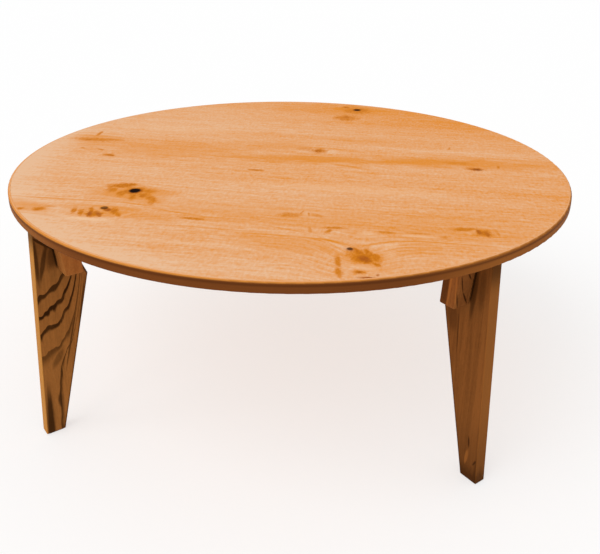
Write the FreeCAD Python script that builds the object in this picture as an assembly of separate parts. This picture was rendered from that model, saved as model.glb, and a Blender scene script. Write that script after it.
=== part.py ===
import FreeCAD, Part
import math
import os

# A round low table on four plank legs, each of which folds inwards under the top.
# Sizes are millimetres and angles are degrees. The origin is on the floor, under the middle of the top,
# +Z is up and -Y is the front. A "reach" is a distance from the table's upright centre line, an "outset" or
# "inset" is how much further out or in than the pivot pin something stands, and a "drop" is measured down.

# Top
top_diameter = 900.0
top_thickness = 15.0
table_height = 350.0
face_veneer_thickness = 1.0
back_veneer_thickness = 1.0
lipping_width = 4.0
upper_arris_radius = 2.5
lower_arris_radius = 1.5
glue_line = 0.05

# Legs, as planks that stand in upright planes through the centre line
leg_names = ("front_right", "rear_right", "rear_left", "front_left")
side_names = ("front", "right", "rear", "left")
first_leg_azimuth = -45.0
leg_thickness = 18.0
leg_arris_radius = 1.2
leg_top_inner_outset = 5.0
leg_top_outer_outset = 41.0
knee_inset = 30.5
knee_drop_below_pivot = 44.0
inner_edge_lean = 13.05
outer_edge_lean = 2.4
foot_pad_thickness = 1.5
foot_pad_margin = 1.0

# Hinges
pivot_inset_from_rim = 50.0
pin_diameter = 8.0
pin_chamfer = 0.5
pin_seat_depth = 12.0
pin_end_clearance = 0.5
running_clearance = 0.05
bush_wall = 2.0
bush_flange_width = 3.0
leg_side_gap = 1.0
flange_clearance = 0.1

# Hinge blocks, one on each side of each leg
block_thickness = 27.0
block_height = 71.5
block_inner_inset = 16.0
block_outer_outset = 10.0
block_inner_lean = 4.0
block_outer_lean = 6.8
block_arris_radius = 2.5

# Fastenings of the blocks
dowel_diameter = 8.0
dowel_depth_in_block = 20.0
dowel_depth_in_top = 10.0
dowel_end_clearance = 0.5
dowel_chamfer = 1.0
dowel_distance_from_leg_side = 10.0
screw_diameter = 4.5
screw_length = 50.0
screw_point_length = 5.0
screw_depth_in_top = 10.0
screw_head_diameter = 8.6
screw_head_height = 3.0
screw_hole_clearance = 0.4
screw_distance_from_far_side = 7.5
recess_width = 1.1
recess_length = 4.6
recess_depth = 1.6

# Felt bumpers, on which the folded legs lie
bumper_diameter = 14.0
bumper_thickness = 3.0
bumper_gap = 0.3
bumper_reach = 200.0

# Values that follow from the sizes above
top_radius = top_diameter / 2
panel_radius = top_radius - lipping_width
underside = table_height - top_thickness
core_bottom = underside + back_veneer_thickness
core_top = table_height - face_veneer_thickness
leg_half = leg_thickness / 2
leg_turn = 360.0 / len(leg_names)
block_near = leg_half + leg_side_gap
block_far = block_near + block_thickness
block_bottom = underside - block_height
pivot_reach = top_radius - pivot_inset_from_rim
pin_radius = pin_diameter / 2
bush_radius = pin_radius + running_clearance + bush_wall
knee_distance = (knee_inset * math.cos(math.radians(inner_edge_lean))
                 + knee_drop_below_pivot * math.sin(math.radians(inner_edge_lean)))
pivot_drop = knee_distance + bumper_thickness + bumper_gap
pivot_height = underside - pivot_drop
dowel_offset = block_near + dowel_distance_from_leg_side
screw_offset = block_far - screw_distance_from_far_side
screw_tip_height = underside + screw_depth_in_top
screw_seat_height = screw_tip_height - screw_length

# How far apart two places may lie that count as the same
same_place = 0.05

up = FreeCAD.Vector(0, 0, 1)
sideways = FreeCAD.Vector(0, 1, 0)
centre = FreeCAD.Vector(0, 0, 0)


def upright_cylinder(radius, height, base):
    return Part.makeCylinder(radius, height, base, up)


def round_edges(shape, radius, wanted):
    """The shape with every edge rounded for which wanted(edge) is true."""
    edges = [edge for edge in shape.Edges if wanted(edge)]
    return shape.makeFillet(radius, edges)


def turned_to(shape, azimuth):
    """A copy of a shape that was made for a leg along +X, turned to the leg at this azimuth."""
    turned = shape.copy()
    turned.rotate(centre, up, azimuth)
    return turned


def leg_azimuth(number):
    return first_leg_azimuth + number * leg_turn


def plate(corners, thickness, middle):
    """An upright plate from (reach, height) corners, its thickness centred on the given sideways offset."""
    start = middle - thickness / 2
    points = [FreeCAD.Vector(reach, start, height) for reach, height in corners]
    outline = Part.makePolygon(points + points[:1])
    return Part.Face(outline).extrude(sideways * thickness)


# Top


def dowel_holes_and_screw_holes():
    """The holes for the blocks' dowels and screws, all round the underside."""
    dowel_base = underside - dowel_end_clearance
    dowel_depth = dowel_depth_in_top + dowel_end_clearance * 2
    holes = []
    for side in (1, -1):
        dowel_place = FreeCAD.Vector(pivot_reach, side * dowel_offset, dowel_base)
        holes.append(upright_cylinder(dowel_diameter / 2 + glue_line, dowel_depth, dowel_place))
        screw_place = FreeCAD.Vector(pivot_reach, side * screw_offset, dowel_base)
        screw_depth = screw_depth_in_top + dowel_end_clearance * 2
        holes.append(upright_cylinder(screw_diameter / 2 + glue_line, screw_depth, screw_place))
    drilled = Part.makeCompound(holes)
    return [turned_to(drilled, leg_azimuth(number)) for number in range(len(leg_names))]


def top_core():
    """The board that carries everything, drilled from below."""
    board = upright_cylinder(panel_radius - glue_line, core_top - core_bottom, up * core_bottom)
    return board.cut(dowel_holes_and_screw_holes())


def top_face_veneer():
    return upright_cylinder(panel_radius - glue_line, face_veneer_thickness, up * core_top)


def top_back_veneer():
    sheet = upright_cylinder(panel_radius - glue_line, back_veneer_thickness, up * underside)
    return sheet.cut(dowel_holes_and_screw_holes())


def top_edge_lipping():
    """The solid wood ring round the board, with its outer arrises rounded."""
    disc = upright_cylinder(top_radius, top_thickness, up * underside)

    def at_height(height):
        return lambda edge: abs(edge.CenterOfMass.z - height) < same_place and len(edge.Vertexes) == 1

    disc = round_edges(disc, upper_arris_radius, at_height(table_height))
    disc = round_edges(disc, lower_arris_radius, at_height(underside))
    return disc.cut(upright_cylinder(panel_radius, top_thickness, up * underside))


# Legs


def leg_corners():
    """The plank's five corners, from the inner top corner round by the outer edge."""
    knee_reach = pivot_reach - knee_inset
    knee_height = pivot_height - knee_drop_below_pivot
    outer_top_reach = pivot_reach + leg_top_outer_outset
    foot_inner_reach = knee_reach + (knee_height - foot_pad_thickness) * math.tan(math.radians(inner_edge_lean))
    leg_rise = underside - foot_pad_thickness
    foot_outer_reach = outer_top_reach + leg_rise * math.tan(math.radians(outer_edge_lean))
    return [
        (pivot_reach + leg_top_inner_outset, underside),
        (outer_top_reach, underside),
        (foot_outer_reach, foot_pad_thickness),
        (foot_inner_reach, foot_pad_thickness),
        (knee_reach, knee_height),
    ]


def leg():
    """The tapered plank. Its outer top end stops it under the top, and its inner top corner is cut away."""
    plank = plate(leg_corners(), leg_thickness, 0)

    def runs_down_the_leg(edge):
        ends = [vertex.Point for vertex in edge.Vertexes]
        along_a_face = abs(ends[0].y - ends[1].y) < same_place
        level = abs(ends[0].z - ends[1].z) < same_place
        return along_a_face and not level

    plank = round_edges(plank, leg_arris_radius, runs_down_the_leg)
    start = FreeCAD.Vector(pivot_reach, -leg_thickness, pivot_height)
    bore = Part.makeCylinder(pin_radius + glue_line, leg_thickness * 2, start, sideways)
    return plank.cut(bore)


def pivot_pin():
    """The steel pin, fixed across the leg, with both ends in the blocks."""
    half_length = block_near + pin_seat_depth - pin_end_clearance
    start = FreeCAD.Vector(pivot_reach, -half_length, pivot_height)
    pin = Part.makeCylinder(pin_radius, half_length * 2, start, sideways)
    rims = [edge for edge in pin.Edges if len(edge.Vertexes) == 1]
    return pin.makeChamfer(pin_chamfer, rims)


def foot_pad():
    """The felt pad under the foot, a little smaller than the foot."""
    corners = leg_corners()
    outer = corners[2][0] - foot_pad_margin
    inner = corners[3][0] + foot_pad_margin
    width = leg_thickness - foot_pad_margin * 2
    return Part.makeBox(outer - inner, width, foot_pad_thickness, FreeCAD.Vector(inner, -width / 2, 0))


# Hinge blocks


def block_corners():
    inner_foot = pivot_reach - block_inner_inset
    outer_foot = pivot_reach + block_outer_outset
    return [
        (inner_foot, block_bottom),
        (outer_foot, block_bottom),
        (outer_foot + block_height * math.tan(math.radians(block_outer_lean)), underside),
        (inner_foot + block_height * math.tan(math.radians(block_inner_lean)), underside),
    ]


def bush_hole(side):
    depth = pin_seat_depth + pin_end_clearance
    start = FreeCAD.Vector(pivot_reach, side * block_near, pivot_height)
    return Part.makeCylinder(bush_radius + glue_line, depth, start, sideways * side)


def block_dowel_hole(side):
    depth = dowel_depth_in_block + dowel_end_clearance
    base = FreeCAD.Vector(pivot_reach, side * dowel_offset, underside - depth)
    return upright_cylinder(dowel_diameter / 2 + glue_line, depth, base)


def block_screw_hole(side):
    """A deep counterbore from below for the head, and a clear hole for the shank."""
    base = FreeCAD.Vector(pivot_reach, side * screw_offset, block_bottom)
    head_radius = screw_head_diameter / 2 + screw_hole_clearance
    counterbore = upright_cylinder(head_radius, screw_seat_height - block_bottom, base)
    shank_hole = upright_cylinder(screw_diameter / 2 + glue_line, block_height, base)
    return counterbore.fuse(shank_hole)


def hinge_block(side):
    """The block on one side of the leg, narrower at the bottom, with a blind hole for its bush."""
    middle = side * (block_near + block_thickness / 2)
    body = plate(block_corners(), block_thickness, middle)

    def shows(edge):
        middle_point = edge.CenterOfMass
        on_leg_side = abs(abs(middle_point.y) - block_near) < same_place
        on_top = abs(middle_point.z - underside) < same_place
        return not on_leg_side and not on_top

    body = round_edges(body, block_arris_radius, shows)
    return body.cut([bush_hole(side), block_dowel_hole(side), block_screw_hole(side)])


def pivot_bush(side):
    """The flanged sleeve in which the pin turns. Its flange keeps the leg off the block."""
    sleeve_start = FreeCAD.Vector(pivot_reach, side * block_near, pivot_height)
    sleeve = Part.makeCylinder(bush_radius, pin_seat_depth, sleeve_start, sideways * side)
    flange_thickness = leg_side_gap - flange_clearance
    flange_start = FreeCAD.Vector(pivot_reach, side * (block_near - flange_thickness), pivot_height)
    flange = Part.makeCylinder(bush_radius + bush_flange_width, flange_thickness, flange_start, sideways * side)
    bore_start = FreeCAD.Vector(pivot_reach, side * leg_half, pivot_height)
    bore = Part.makeCylinder(pin_radius + running_clearance, block_thickness, bore_start, sideways * side)
    return sleeve.fuse(flange).cut(bore).removeSplitter()


def block_dowel(side):
    """The beech dowel between block and board."""
    base = FreeCAD.Vector(pivot_reach, side * dowel_offset, underside - dowel_depth_in_block)
    dowel = upright_cylinder(dowel_diameter / 2, dowel_depth_in_block + dowel_depth_in_top, base)
    rims = [edge for edge in dowel.Edges if len(edge.Vertexes) == 1]
    return dowel.makeChamfer(dowel_chamfer, rims)


def block_screw(side):
    """The wood screw that holds the block up, with a cross recess in its head."""
    head_bottom = screw_seat_height - screw_head_height
    head_place = FreeCAD.Vector(pivot_reach, side * screw_offset, head_bottom)
    head = upright_cylinder(screw_head_diameter / 2, screw_head_height, head_place)
    shank_place = FreeCAD.Vector(pivot_reach, side * screw_offset, screw_seat_height)
    shank = upright_cylinder(screw_diameter / 2, screw_length - screw_point_length, shank_place)
    point_place = FreeCAD.Vector(pivot_reach, side * screw_offset, screw_tip_height - screw_point_length)
    point = Part.makeCone(screw_diameter / 2, 0, screw_point_length, point_place, up)
    slots = []
    for length, width in ((recess_length, recess_width), (recess_width, recess_length)):
        corner = head_place - FreeCAD.Vector(length / 2, width / 2, 0)
        slots.append(Part.makeBox(length, width, recess_depth, corner))
    return head.fuse([shank, point]).cut(slots).removeSplitter()


# Bumpers


def fold_bumper():
    """The felt disc under the top on which the folded leg's inner edge lies."""
    base = FreeCAD.Vector(bumper_reach, 0, underside - bumper_thickness)
    return upright_cylinder(bumper_diameter / 2, bumper_thickness, base)


# Nodes


def both_sides(make):
    return Part.makeCompound([make(1), make(-1)])


def leg_nodes(number):
    """Every node that belongs to one leg, named after it."""
    name = leg_names[number]
    clockwise_side = side_names[number]
    other_side = side_names[(number + 1) % len(side_names)]
    made = {
        "leg_" + name: leg(),
        "pivot_pin_" + name: pivot_pin(),
        "foot_pad_" + name: foot_pad(),
        "hinge_block_" + name + "_facing_" + clockwise_side: hinge_block(-1),
        "hinge_block_" + name + "_facing_" + other_side: hinge_block(1),
        "pivot_bushes_" + name: both_sides(pivot_bush),
        "block_dowels_" + name: both_sides(block_dowel),
        "block_screws_" + name: both_sides(block_screw),
        "fold_bumper_" + name: fold_bumper(),
    }
    return {node: turned_to(shape, leg_azimuth(number)) for node, shape in made.items()}


def all_nodes():
    nodes = {
        "top_core": top_core(),
        "top_face_veneer": top_face_veneer(),
        "top_back_veneer": top_back_veneer(),
        "top_edge_lipping": top_edge_lipping(),
    }
    for number in range(len(leg_names)):
        nodes.update(leg_nodes(number))
    return nodes


def main():
    os.makedirs("parts", exist_ok=True)
    for node, shape in all_nodes().items():
        shape.exportStep(os.path.join("parts", node + ".step"))
    print("nodes written to parts/, pivot height", round(pivot_height, 3), "fold angle", 90 + inner_edge_lean)


main()
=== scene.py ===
import math
import random
from collections import namedtuple

import bmesh
import bpy
from mathutils import Matrix, Vector

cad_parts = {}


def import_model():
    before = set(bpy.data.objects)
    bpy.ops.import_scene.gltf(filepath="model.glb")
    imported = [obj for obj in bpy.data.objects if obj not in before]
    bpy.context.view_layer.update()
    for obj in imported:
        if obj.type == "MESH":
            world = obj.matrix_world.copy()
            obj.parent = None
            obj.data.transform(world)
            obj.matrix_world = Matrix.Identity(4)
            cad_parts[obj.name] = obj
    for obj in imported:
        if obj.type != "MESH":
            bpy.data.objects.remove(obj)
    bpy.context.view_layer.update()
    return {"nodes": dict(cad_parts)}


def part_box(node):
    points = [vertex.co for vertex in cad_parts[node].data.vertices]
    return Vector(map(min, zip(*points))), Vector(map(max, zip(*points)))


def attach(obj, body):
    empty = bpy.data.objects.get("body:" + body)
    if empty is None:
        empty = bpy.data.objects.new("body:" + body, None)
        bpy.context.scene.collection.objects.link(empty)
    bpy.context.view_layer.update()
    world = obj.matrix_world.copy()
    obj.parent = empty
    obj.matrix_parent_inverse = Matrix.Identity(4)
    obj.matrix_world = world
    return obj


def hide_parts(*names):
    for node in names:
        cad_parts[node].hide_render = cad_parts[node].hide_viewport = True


# Looks of a round low table on four folding plank legs. Lengths are metres and angles are degrees.
# Marks on the table top are placed in shares of its radius, along the grain (X) and across it (Y).

# The photograph's frame in pixels, and the camera that was fitted to it
image_width = 600
image_height = 554
principal_column = 300.0
principal_row = 200.0
focal_length_pixels = 723.7
top_centre_column = 291.1
top_centre_row = 161.1
camera_azimuth = 9.13
camera_elevation = 17.52
camera_roll = 0.57
camera_distance = 1.2298
sensor_width_mm = 36.0

# Legs, in the order of their azimuths, and the sides that their hinge blocks face
leg_names = ("front_right", "rear_right", "rear_left", "front_left")
side_names = ("front", "right", "rear", "left")
first_leg_azimuth = -45.0
leg_turn = 90.0

# How near an end a point of a plank, or of a block with its rounded corners, counts as lying on it
plank_end_reach = 0.001
block_end_reach = 0.003

# Floor and light
floor_size = 40.0
floor_shade = 0.35
floor_glow = 0.63
floor_roughness = 0.9
sky_at_horizon = 0.30
sky_overhead = 1.05
sun_azimuth = -48.0
sun_elevation = 50.0
sun_softness = 45.0
sun_strength = 1.0

# Felt: how much its sides fray and its faces dent, how round its free rim is, how finely it is drawn, and
# the power of its outline, a superellipse. A power of 2 is a disc, and a higher one is squarer.
felt_fray = 0.00015
felt_dent = 0.00008
felt_rim_radius = 0.0005
felt_points_round = 72
felt_rim_steps = 4
felt_face_shares = (0.25, 0.50, 0.75, 0.95)
pad_power = 7.0
disc_power = 2.0
felt_pieces_per_leg = 2

# Seeds of the noises and of the felt's frayed sides. The legs' are with their figures, and the blocks and
# the felt count on from theirs, leg by leg.
top_veneer_seed = 3
back_veneer_seed = 4
core_board_seed = 5
lipping_seed = 6
dowel_seed = 7
pin_seed = 8
screw_seed = 9
bush_seed = 10
felt_seed = 15
block_seed = 20
felt_piece_seed = 40

# How far along its first coordinate each noise may be moved, so that no two are alike
noise_shift = 50.0

# The curve of display colours: straight from black, then a power
display_white = 255
curve_start = 0.04045
curve_slope = 12.92
curve_offset = 0.055
curve_power = 2.4


def colour(red, green, blue):
    """A display colour of 0 to 255 a channel, as the linear colour that nodes take."""

    def linear(value):
        share = value / display_white
        if share <= curve_start:
            return share / curve_slope
        return ((share + curve_offset) / (1 + curve_offset)) ** curve_power

    return (linear(red), linear(green), linear(blue), 1.0)


def table(kind, *rows):
    """Rows of numbers as records of one kind, with its names for their columns."""
    return [kind(*row) for row in rows]


# A texture of noise: the lengths of its lumps, how many finer layers it has, how strong each of these is
# beside the one before, and how strong the whole is
Texture = namedtuple("Texture", "lengths detail roughness strength", defaults=(2.0, 0.5, 1.0))

# A place where the grain is pushed aside: how far, and over what reach along the grain and spread across it
Bend = namedtuple("Bend", "along_share across_share push reach spread")

# A mark in the wood: its place, half its length and width, how far it rises across the grain along its
# length, and how strong it is
Mark = namedtuple("Mark", "along_share across_share half_length half_width tilt strength")

# A dark band of a plank's figure: its level at the outer edge as a share of the plank's height, how thick it
# is, how far it fades downwards, and how strong it is
Band = namedtuple("Band", "level_share thick fade strength")

# Colours of the table top
veneer_pale = colour(230, 185, 146)
veneer_orange = colour(224, 138, 40)
mark_pale = colour(238, 196, 156)
mark_golden = colour(222, 133, 4)
mark_brown = colour(192, 107, 4)
mark_red = colour(162, 80, 8)
mark_black = colour(20, 3, 0)
chip_pale = colour(206, 172, 124)
chip_brown = colour(150, 108, 66)
lipping_worn_highlight = colour(214, 137, 60)
lipping_brown = colour(128, 72, 32)
lipping_dark = colour(108, 59, 26)
lipping_side_lit_brown = colour(162, 98, 42)
lipping_shadow = colour(88, 46, 20)

# Grain of the veneers, along it and across it
slow_wander = Texture((0.35, 0.22), strength=0.012)
quick_wander = Texture((0.10, 0.04), strength=0.0025)
veneer_field = Texture((0.5, 0.25), strength=0.30)
veneer_bands = Texture((0.9, 0.045), strength=0.30)
veneer_growth = Texture((0.30, 0.0075))
veneer_streaks = Texture((0.035, 0.0042), 3.0, 0.65, 0.65)
veneer_speckle = Texture((0.0042, 0.0090), 2.0, 0.6, 0.55)
veneer_fibre = Texture((0.015, 0.0016), 2.0, 0.6)
back_bands = Texture((0.8, 0.035), 3.0, strength=0.45)
back_growth = Texture((0.35, 0.007), strength=0.35)
back_streaks = veneer_streaks._replace(strength=0.55)
back_speckle = veneer_speckle._replace(strength=0.45)

# How ragged and how mottled the marks of the top are, and how the golden lines waver
zone_ragged = Texture((0.05, 0.02), 3.0, 0.6, 0.9)
mark_ragged = Texture((0.010, 0.014), 4.0, 0.7, 0.9)
mark_mottle = Texture((0.005, 0.012), 3.0, 0.65, 0.7)
line_wobble = Texture((0.02, 0.03), strength=0.0012)

# The tone of the veneers, from 0, pale, to 1, orange: in the middle, how it rises with every metre to the
# right, and how strong the growth lines and the fibre are in it
top_tone = 0.46
top_tone_rise = 0.35
growth_anywhere = 0.35
growth_at_knots = 0.8
top_fibre_tone = 0.5
back_tone = 0.45
back_fibre_tone = 0.4

# The top is more orange at the back, and paler along the rim at its front left as a painted sheen: how much,
# how each zone leans to the side, and between which shares of the radius it starts and is full. The rim's
# are of its square.
rear_zone_tone = 0.28
rear_zone_lean = 0.15
rear_zone_shares = (0.5, 0.8)
front_left_painted_sheen = 0.42
front_left_sheen_lean = 1.6
front_left_sheen_shares = (-1.0, -1.5)
rim_sheen_shares = (0.7, 1.0)

# How sharply the grain's push changes sides at the middle of a knot
knot_split = 4.0

# Surfaces: how much the woods mirror, for the shader's specular level, how rough they are, and how high
# their fibres and streaks stand
brown_gloss = 0.01
orange_gloss = 0.05
wood_roughness = 0.55
fibre_roughness = 0.08
back_roughness = 0.58
back_fibre_roughness = 0.1
heart_roughness = 0.3
heart_depth = 0.0003
veneer_fibre_relief = 0.00002
veneer_streak_relief = 0.00001
chip_flakes = Texture((0.006, 0.004, 0.002), 3.0, 0.7)
chip_roughness = 0.85
chip_relief = 0.0001

# The edge's wood: its streaks and fibre round the edge, upright and outwards, and their parts in its tone
lipping_streaks = Texture((0.25, 0.003, 0.003), 3.0)
lipping_fibre = Texture((0.03, 0.001, 0.001))
lipping_tone = 0.45
lipping_streak_tone = 0.4
lipping_fibre_tone = 0.3
lipping_roughness = 0.5

# The edge is painted lighter towards the table's sides, as painted light falling there: from which share of
# the radius to which, how much the border strays, and how strong the change is
lipping_lit_side_shares = (0.42, 0.72)
lipping_lit_side_stray = 0.03
lipping_lit_side_strength = 0.7

# A painted shadow line runs round the edge under its rubbed, highlighted arris: how far down, how wide and
# how strong
shadow_depth = 0.0044
shadow_width = 0.0018
shadow_strength = 0.7

# The rubbed arris, painted lighter as real wear and as a painted highlight: how far down it starts and is
# full, how its border strays, and how much narrower it gets towards the right, where less light falls.
# Inside it, on the upper face, the edge looks like the veneer.
wear_highlight_depths = (0.0027, 0.0006)
wear_highlight_stray = 0.0003
lipping_highlight_slope = 0.0024
face_insets = (0.0008, 0.0022)
face_depth = 0.0006

# Places where the grain of the top's face parts round a knot, and where all of it dips towards the front
top_bends = table(
    Bend,
    (-0.458, -0.422, 0.014, 0.065, 0.042),
    (-0.5, -0.63, 0.016, 0.065, 0.04),
    (0.124, -0.527, 0.006, 0.035, 0.022),
    (0.662, -0.58, 0.008, 0.04, 0.026),
    (0.084, 0.153, 0.012, 0.055, 0.033),
    (0.18, 0.871, 0.016, 0.075, 0.045),
    (-0.855, 0.145, 0.012, 0.06, 0.03),
)
top_dips = table(
    Bend,
    (0.31, -0.82, 0.042, 0.048, 0.06),
)

# Marks of the top's face: wide golden stains, pale patches, thin golden lines of grain, brown smudges,
# red-brown rims and the black hearts of knots. The golden lines follow the bent grain.
golden_zones = table(
    Mark,
    (-0.511, 0.056, 0.2, 0.056, 0.0, 0.46),
    (0.1, 0.04, 0.18, 0.028, 0.08, 0.8),
    (0.62, 0.09, 0.2, 0.034, 0.1, 0.7),
    (0.44, 0.072, 0.15, 0.024, 0.15, 0.84),
    (0.222, 0.327, 0.07, 0.014, 0.0, 0.42),
    (-0.11, 0.19, 0.1, 0.04, 0.08, 0.34),
    (-0.456, -0.456, 0.072, 0.04, -0.1, 0.72),
    (-0.44, -0.62, 0.09, 0.03, -0.1, 0.58),
    (0.54, -0.58, 0.16, 0.07, 0.2, 0.32),
    (-0.856, 0.151, 0.055, 0.032, 0.0, 0.46),
    (0.329, -0.804, 0.04, 0.036, -0.3, 0.5),
    (0.03, -0.54, 0.24, 0.038, 0.0, 0.36),
    (-0.727, -0.62, 0.05, 0.022, -0.4, 0.6),
    (0.133, -0.616, 0.06, 0.009, 0.0, 0.45),
    (-0.133, -0.622, 0.09, 0.014, 0.05, 0.32),
    (0.11, 0.83, 0.15, 0.042, 0.0, 0.36),
    (0.12, -0.75, 0.09, 0.034, -0.2, 0.42),
)
pale_marks = table(
    Mark,
    (-0.507, -0.684, 0.036, 0.006, 0.0, 0.75),
    (-0.422, -0.649, 0.022, 0.004, 1.2, 0.3),
    (0.329, -0.642, 0.014, 0.007, 0.3, 0.4),
    (0.478, -0.636, 0.034, 0.006, 0.0, 0.4),
    (0.396, -0.724, 0.016, 0.007, 0.8, 0.45),
    (0.329, -0.871, 0.022, 0.005, -0.2, 0.4),
    (0.4, -0.782, 0.01, 0.014, 0.0, 0.25),
    (0.333, -0.667, 0.022, 0.004, 0.3, 0.3),
    (-0.178, -0.8, 0.11, 0.0024, 0.04, 0.25),
    (0.24, -0.27, 0.17, 0.024, 0.02, 0.26),
    (-0.756, -0.5, 0.06, 0.006, 0.05, 0.2),
    (0.133, -0.524, 0.007, 0.009, 0.0, 0.25),
    (-0.556, 0.356, 0.14, 0.03, 0.0, 0.15),
)
golden_lines = table(
    Mark,
    (-0.644, -0.54, 0.105, 0.0024, 0.0, 0.75),
    (-0.422, -0.54, 0.04, 0.0032, -0.2, 0.8),
    (-0.278, -0.582, 0.06, 0.0026, -0.16, 0.75),
    (-0.289, -0.638, 0.04, 0.0022, 0.16, 0.65),
    (-0.133, -0.602, 0.07, 0.0024, 0.0, 0.7),
    (0.167, -0.582, 0.13, 0.0024, 0.0, 0.65),
    (0.5, -0.671, 0.105, 0.0026, 0.0, 0.85),
    (0.049, -0.702, 0.046, 0.0024, 0.0, 0.8),
    (0.211, -0.689, 0.042, 0.003, 0.19, 0.9),
    (0.084, -0.651, 0.045, 0.0022, -0.25, 0.6),
    (0.5, -0.693, 0.08, 0.0018, 0.02, 0.65),
    (0.478, -0.709, 0.07, 0.0018, 0.02, 0.6),
    (0.467, -0.727, 0.06, 0.0018, 0.02, 0.6),
    (0.467, -0.747, 0.06, 0.0018, 0.02, 0.5),
    (0.467, -0.769, 0.06, 0.0016, 0.02, 0.45),
    (0.5, -0.644, 0.09, 0.0024, 0.02, 0.6),
    (-0.3, 0.009, 0.016, 0.0032, -0.25, 0.7),
    (-0.233, 0.004, 0.044, 0.004, 0.02, 0.8),
    (0.067, 0.002, 0.05, 0.0032, 0.02, 0.8),
    (0.211, -0.022, 0.042, 0.007, -0.32, 0.7),
    (0.289, 0.049, 0.06, 0.01, 0.16, 0.6),
    (0.533, 0.08, 0.07, 0.014, 0.1, 0.65),
    (-0.133, -0.687, 0.11, 0.0024, -0.02, 0.6),
    (-0.511, 0.167, 0.06, 0.003, -0.02, 0.55),
    (0.667, -0.522, 0.08, 0.0028, 0.04, 0.5),
    (-0.667, -0.667, 0.06, 0.0022, 0.0, 0.45),
    (-0.333, -0.511, 0.09, 0.0026, 0.0, 0.45),
    (0.444, -0.478, 0.12, 0.0026, 0.02, 0.45),
    (-0.044, -0.733, 0.09, 0.0022, -0.02, 0.4),
    (0.111, -0.782, 0.06, 0.0024, -0.12, 0.4),
)
brown_marks = table(
    Mark,
    (-0.516, -0.382, 0.026, 0.012, 0.3, 0.95),
    (-0.533, -0.427, 0.011, 0.014, 0.0, 0.75),
    (-0.493, -0.458, 0.015, 0.007, -3.0, 0.8),
    (-0.444, -0.476, 0.017, 0.007, -4.0, 0.8),
    (-0.413, -0.458, 0.014, 0.012, -0.6, 0.9),
    (-0.378, -0.484, 0.02, 0.008, -1.2, 0.75),
    (-0.367, -0.524, 0.012, 0.006, -1.5, 0.55),
    (-0.409, -0.418, 0.014, 0.012, 0.0, 0.7),
    (-0.456, -0.422, 0.022, 0.018, 0.3, 0.8),
    (-0.576, -0.627, 0.015, 0.0045, -4.0, 0.8),
    (-0.549, -0.636, 0.015, 0.005, -2.5, 0.9),
    (-0.524, -0.618, 0.016, 0.0045, -3.0, 0.8),
    (-0.453, -0.609, 0.017, 0.006, -3.0, 0.95),
    (-0.436, -0.627, 0.012, 0.005, -1.5, 0.8),
    (-0.507, -0.644, 0.018, 0.012, 0.0, 0.9),
    (-0.48, -0.602, 0.013, 0.007, -0.8, 0.95),
    (-0.747, -0.642, 0.012, 0.006, 0.0, 0.75),
    (-0.687, -0.633, 0.01, 0.009, 0.0, 0.85),
    (-0.667, -0.607, 0.01, 0.004, 0.0, 0.5),
    (-0.2, -0.624, 0.022, 0.005, -0.1, 0.8),
    (0.324, -0.804, 0.022, 0.02, -0.9, 0.9),
    (0.311, -0.778, 0.015, 0.009, -2.5, 0.95),
    (0.34, -0.782, 0.017, 0.007, -4.0, 0.9),
    (0.36, -0.809, 0.017, 0.008, -3.0, 0.9),
    (0.333, -0.822, 0.016, 0.013, -0.6, 1.0),
    (0.362, -0.844, 0.009, 0.005, -0.8, 0.8),
    (0.262, -0.844, 0.022, 0.0045, -6.0, 0.75),
    (0.271, -0.907, 0.016, 0.005, -4.0, 0.75),
    (0.322, -0.898, 0.009, 0.006, 0.0, 0.85),
    (0.216, -0.642, 0.013, 0.004, 2.5, 0.8),
    (0.229, -0.618, 0.017, 0.005, 0.1, 0.75),
    (0.16, -0.644, 0.014, 0.003, -4.0, 0.4),
    (0.38, -0.624, 0.014, 0.005, 0.0, 0.7),
    (0.476, -0.616, 0.02, 0.004, 0.0, 0.5),
    (0.547, -0.633, 0.007, 0.006, 0.0, 0.5),
    (0.084, -0.54, 0.02, 0.01, 0.1, 0.6),
    (0.167, -0.533, 0.012, 0.006, -0.6, 0.45),
    (0.116, -0.516, 0.008, 0.002, 4.0, 0.65),
    (0.14, -0.524, 0.009, 0.002, -6.0, 0.65),
    (0.662, -0.578, 0.015, 0.013, 0.0, 0.9),
    (0.702, -0.573, 0.012, 0.003, -5.0, 0.5),
    (0.604, -0.56, 0.02, 0.008, 0.3, 0.75),
    (0.084, 0.153, 0.016, 0.017, 0.0, 0.85),
    (0.027, 0.169, 0.018, 0.014, 0.0, 0.42),
    (0.767, 0.069, 0.011, 0.0028, 8.0, 0.65),
    (0.596, 0.284, 0.009, 0.0028, 8.0, 0.6),
    (-0.836, 0.013, 0.008, 0.0035, -1.0, 0.6),
    (0.622, 0.093, 0.034, 0.012, 0.0, 0.46),
    (0.68, 0.031, 0.019, 0.01, 0.0, 0.75),
    (-0.844, 0.133, 0.042, 0.014, -0.05, 0.65),
    (-0.778, 0.142, 0.03, 0.01, 0.0, 0.6),
    (-0.856, 0.229, 0.02, 0.0045, -8.0, 0.8),
    (-0.76, 0.007, 0.011, 0.004, -0.5, 0.7),
    (-0.7, -0.058, 0.016, 0.008, -0.2, 0.8),
    (-0.109, -0.131, 0.015, 0.005, 0.0, 0.7),
    (0.18, 0.856, 0.036, 0.036, 0.0, 0.75),
    (0.122, 0.911, 0.01, 0.012, 0.0, 0.9),
    (0.142, 0.702, 0.028, 0.028, 0.0, 0.75),
)
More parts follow.
